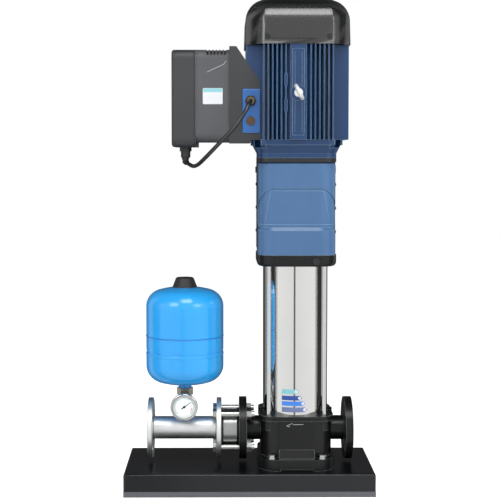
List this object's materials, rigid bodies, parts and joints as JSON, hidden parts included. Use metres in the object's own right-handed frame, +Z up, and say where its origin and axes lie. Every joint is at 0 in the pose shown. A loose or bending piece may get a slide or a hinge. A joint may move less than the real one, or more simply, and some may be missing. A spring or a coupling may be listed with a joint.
{
  "type": "vertical multistage pump",
  "caption": "Upright inline multistage water pump set: flanged pump, finned motor, inverter, check valve, gauge and diaphragm tank on a folded steel base.",
  "frame": {"origin": "middle of the base frame's plan, on the floor plane under the rails", "axes": "+Z up along the pump and motor axis, +X towards the suction flange, -Y towards the viewer's side with the gauge face and the lifting eye"},
  "size_m": [0.65, 0.331, 1.282],
  "materials": {
    "zinc_steel": "bright zinc-plated steel",
    "base_powder_coat": "black semi-matt powder coat on folded sheet",
    "rail_steel": "grey coated rail",
    "casting_black": "black coated grey iron, fine orange-peel",
    "staybolt_steel": "bright plated round bar",
    "sleeve_stainless": "polished stainless tube",
    "gasket_fibre": "dark fibre ring",
    "plug_brass": "machined brass",
    "shaft_steel": "ground stainless shaft",
    "inner_stainless": "pressed stainless sheet",
    "bush_bronze": "machined bronze",
    "seal_carbon": "lapped carbon face",
    "stool_black": "black coated grey iron",
    "guard_blue": "smooth blue-grey paint on pressed sheet",
    "coupling_cast": "machined cast iron",
    "motor_blue": "satin blue paint on cast iron",
    "bolt_blue": "blue painted bolt head",
    "lamination_steel": "varnished steel laminations",
    "bearing_steel": "ground bearing steel",
    "cowl_black": "gloss black paint on pressed sheet",
    "fan_plastic": "moulded plastic",
    "screw_steel": "plated screw",
    "terminal_blue": "satin blue paint on cast box",
    "gland_black": "moulded polyamide",
    "plug_brown": "moulded blank plug",
    "cable_jacket": "black cable jacket",
    "inverter_adapter_grey": "dark grey cast adapter",
    "heatsink_grey": "grey coated cast aluminium",
    "inverter_cover_grey": "fine grained moulding",
    "display_glass": "smoked display window",
    "key_grey": "moulded key",
    "valve_stainless": "cast and machined stainless",
    "spool_stainless": "welded stainless pipe, machined flanges",
    "plated_brass": "nickel-plated brass",
    "gauge_chrome": "polished bezel",
    "dial_white": "white printed dial",
    "pointer_black": "black pointer",
    "gauge_lens": "clear lens",
    "tank_blue": "gloss bright blue paint",
    "bladder_rubber": "butyl rubber",
    "cap_black": "moulded cap"
  },
  "bodies": {
    "set": {"air_valve": "plug_brass", "anchor_bolts": "zinc_steel", "base_pan": "base_powder_coat", "base_rails": "rail_steel", "blank_plug": "plug_brown", "check_valve_body": "valve_stainless", "cover_screws": "screw_steel", "display_window": "display_glass", "end_shield_bolts": "bolt_blue", "eye_bolt": "zinc_steel", "fan_cover": "cowl_black", "flange_bolts": "zinc_steel", "gauge_case": "gauge_chrome", "gauge_dial": "dial_white", "gauge_glass": "gauge_lens", "gauge_tee": "plated_brass", "guard_front": "guard_blue", "guard_rear": "guard_blue", "inverter_bracket": "inverter_adapter_grey", "inverter_cover": "inverter_cover_grey", "inverter_gland": "gland_black", "inverter_heatsink": "heatsink_grey", "lower_bush": "bush_bronze", "lower_end_shield": "motor_blue", "motor_bearings": "bearing_steel", "motor_cable": "cable_jacket", "motor_frame": "motor_blue", "motor_stool": "stool_black", "outer_sleeve": "sleeve_stainless", "pipe_gaskets": "gasket_fibre", "pump_base": "casting_black", "pump_head": "casting_black", "seal_seat": "seal_carbon", "sleeve_gaskets": "gasket_fibre", "spool_pipe": "spool_stainless", "stage_bowls": "inner_stainless", "stator_core": "lamination_steel", "staybolts": "staybolt_steel", "tank_bladder": "bladder_rubber", "tank_cap": "cap_black", "tank_shell": "tank_blue", "tank_union": "plated_brass", "terminal_box": "terminal_blue", "terminal_gland": "gland_black", "upper_end_shield": "motor_blue", "vent_plug": "plug_brass"},
    "rotor": {"pump_shaft": "shaft_steel", "impellers": "inner_stainless", "seal_ring": "seal_carbon", "shaft_coupling": "coupling_cast", "coupling_bolts": "zinc_steel", "motor_shaft": "shaft_steel", "rotor_core": "lamination_steel", "cooling_fan": "fan_plastic"},
    "check_flap": {"check_disc": "valve_stainless"},
    "pointer": {"gauge_pointer": "pointer_black"},
    "key_1": {"keypad_key_1": "key_grey"},
    "key_2": {"keypad_key_2": "key_grey"},
    "key_3": {"keypad_key_3": "key_grey"},
    "key_4": {"keypad_key_4": "key_grey"}
  },
  "joints": [
    {"name": "shaft_turn", "type": "hinge", "parent": "set", "child": "rotor", "pos_m": [0.124, 0, 0.7], "axis": [0, 0, 1], "continuous": true},
    {"name": "check_flap_swing", "type": "hinge", "parent": "set", "child": "check_flap", "pos_m": [-0.042, 0, 0.173], "axis": [0, 1, 0], "range_deg": [0, 40]},
    {"name": "gauge_pointer_turn", "type": "hinge", "parent": "set", "child": "pointer", "pos_m": [-0.1705, -0.068, 0.2185], "axis": [0, 1, 0], "range_deg": [-190, 80], "stiffness_Nm_per_rad": 0.0005},
    {"name": "key_1_press", "type": "slide", "parent": "set", "child": "key_1", "axis": [1, 0, 0], "range_m": [0, 0.001], "stiffness_N_per_m": 150, "springref_m": -0.0005},
    {"name": "key_2_press", "type": "slide", "parent": "set", "child": "key_2", "axis": [1, 0, 0], "range_m": [0, 0.001], "stiffness_N_per_m": 150, "springref_m": -0.0005},
    {"name": "key_3_press", "type": "slide", "parent": "set", "child": "key_3", "axis": [1, 0, 0], "range_m": [0, 0.001], "stiffness_N_per_m": 150, "springref_m": -0.0005},
    {"name": "key_4_press", "type": "slide", "parent": "set", "child": "key_4", "axis": [1, 0, 0], "range_m": [0, 0.001], "stiffness_N_per_m": 150, "springref_m": -0.0005}
  ]
}
